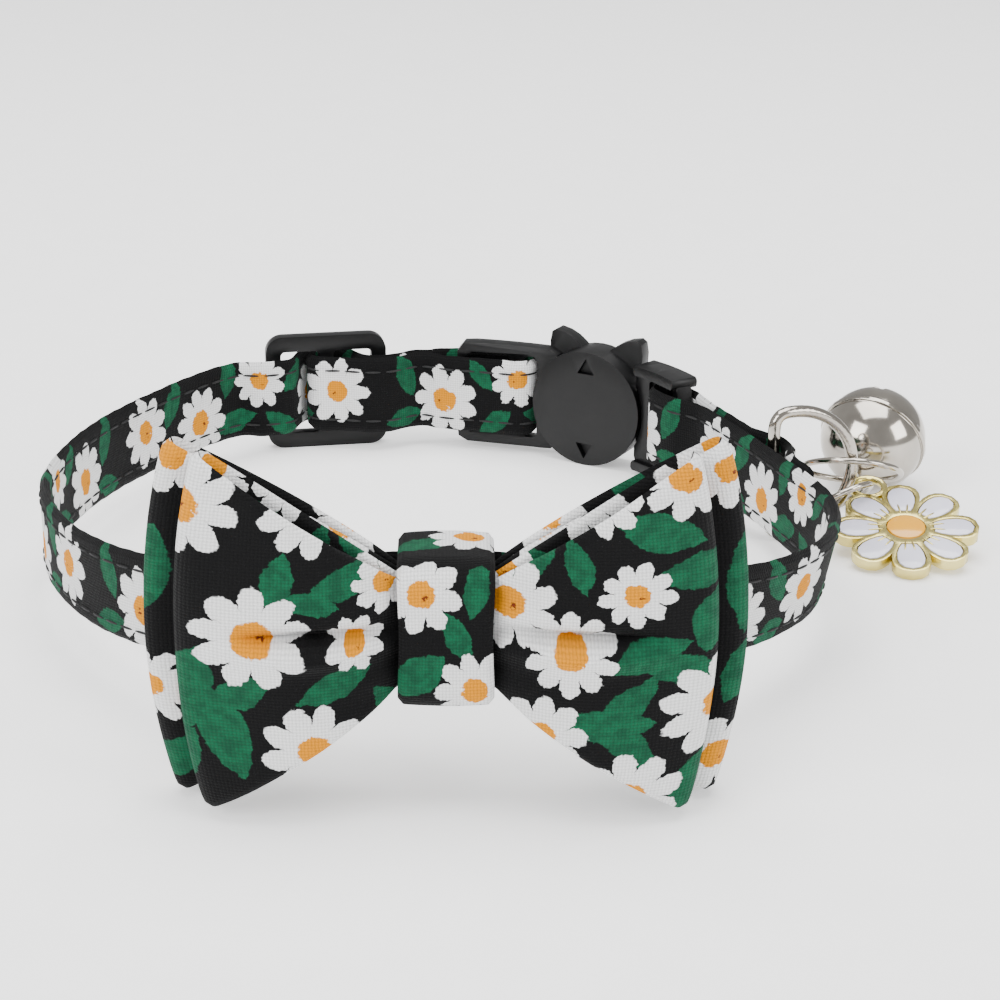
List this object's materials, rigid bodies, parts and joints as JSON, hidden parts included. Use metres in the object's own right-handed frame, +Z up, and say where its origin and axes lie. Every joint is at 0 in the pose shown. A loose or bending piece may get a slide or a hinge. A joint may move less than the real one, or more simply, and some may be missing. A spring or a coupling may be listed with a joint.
{
  "type": "pet bow tie collar",
  "caption": "Adjustable cloth pet collar standing as a closed loop, with a two-layer bow, slider, breakaway buckle, and a D-ring carrying a bell and a flower charm.",
  "frame": {"origin": "middle of the whole collar's footprint, on the surface it stands on", "axes": "+X to the bell and charm side, +Y from the bow to the buckle, +Z up"},
  "size_m": [0.1056, 0.1072, 0.0342],
  "materials": {
    "cloth": "printed plain-weave cotton, black ground with white daisies and green leaves, matte",
    "bow_cloth": "the same printed plain-weave cotton, matte",
    "plastic": "black moulded plastic, fine satin",
    "nickel": "bright nickel plate",
    "gold_rim": "pale gold plate, polished",
    "enamel_white": "white enamel with a lavender cast, glossy",
    "enamel_yellow": "yellow enamel, glossy"
  },
  "bodies": {
    "root": {"strap": "cloth", "slider": "plastic", "buckle_socket": "plastic", "buckle_plug": "plastic", "d_ring": "nickel", "bell": "nickel", "bell_pellet": "nickel", "jump_ring_bell": "nickel", "charm_base": "gold_rim", "charm_centre": "enamel_yellow", "jump_ring_charm": "nickel", "bow_front": "bow_cloth", "bow_back": "bow_cloth", "bow_knot": "bow_cloth", "charm_petal_1": "enamel_white", "charm_petal_2": "enamel_white", "charm_petal_3": "enamel_white", "charm_petal_4": "enamel_white", "charm_petal_5": "enamel_white", "charm_petal_6": "enamel_white", "charm_petal_7": "enamel_white", "charm_petal_8": "enamel_white"}
  },
  "joints": []
}
